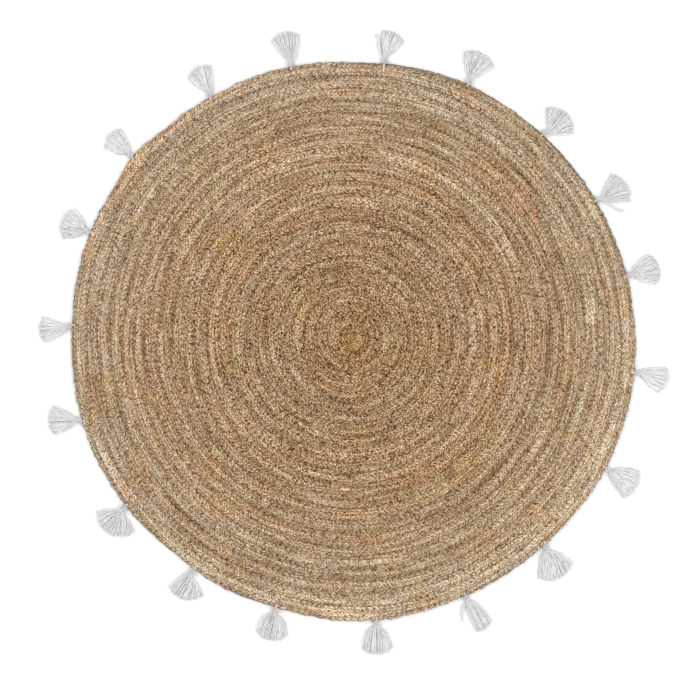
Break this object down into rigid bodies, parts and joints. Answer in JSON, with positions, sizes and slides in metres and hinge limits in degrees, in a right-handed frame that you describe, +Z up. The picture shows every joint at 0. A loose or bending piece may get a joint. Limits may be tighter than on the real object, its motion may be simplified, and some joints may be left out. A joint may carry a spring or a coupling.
{
  "type": "round jute rug",
  "caption": "Round floor rug coiled from a flat jute plait, with white cotton tassels all round its edge.",
  "frame": {"origin": "centre of the coil on the flat underside, where the rug meets the floor", "axes": "+Z up out of the floor; +Y towards the top of the picture and +X towards its right, seen from above"},
  "size_m": [1.3536, 1.3412, 0.0112],
  "materials": {
    "jute": "coarse matt plaited jute",
    "cotton": "soft matt white cotton"
  },
  "bodies": {
    "root": {"rug_coil": "jute", "tassel_01": "cotton", "tassel_02": "cotton", "tassel_03": "cotton", "tassel_04": "cotton", "tassel_05": "cotton", "tassel_06": "cotton", "tassel_07": "cotton", "tassel_08": "cotton", "tassel_09": "cotton", "tassel_10": "cotton", "tassel_11": "cotton", "tassel_12": "cotton", "tassel_13": "cotton", "tassel_14": "cotton", "tassel_15": "cotton", "tassel_16": "cotton", "tassel_17": "cotton", "tassel_18": "cotton", "tassel_19": "cotton", "binding_01": "cotton", "binding_02": "cotton", "binding_03": "cotton", "binding_04": "cotton", "binding_05": "cotton", "binding_06": "cotton", "binding_07": "cotton", "binding_08": "cotton", "binding_09": "cotton", "binding_10": "cotton", "binding_11": "cotton", "binding_12": "cotton", "binding_13": "cotton", "binding_14": "cotton", "binding_15": "cotton", "binding_16": "cotton", "binding_17": "cotton", "binding_18": "cotton", "binding_19": "cotton"}
  },
  "joints": []
}
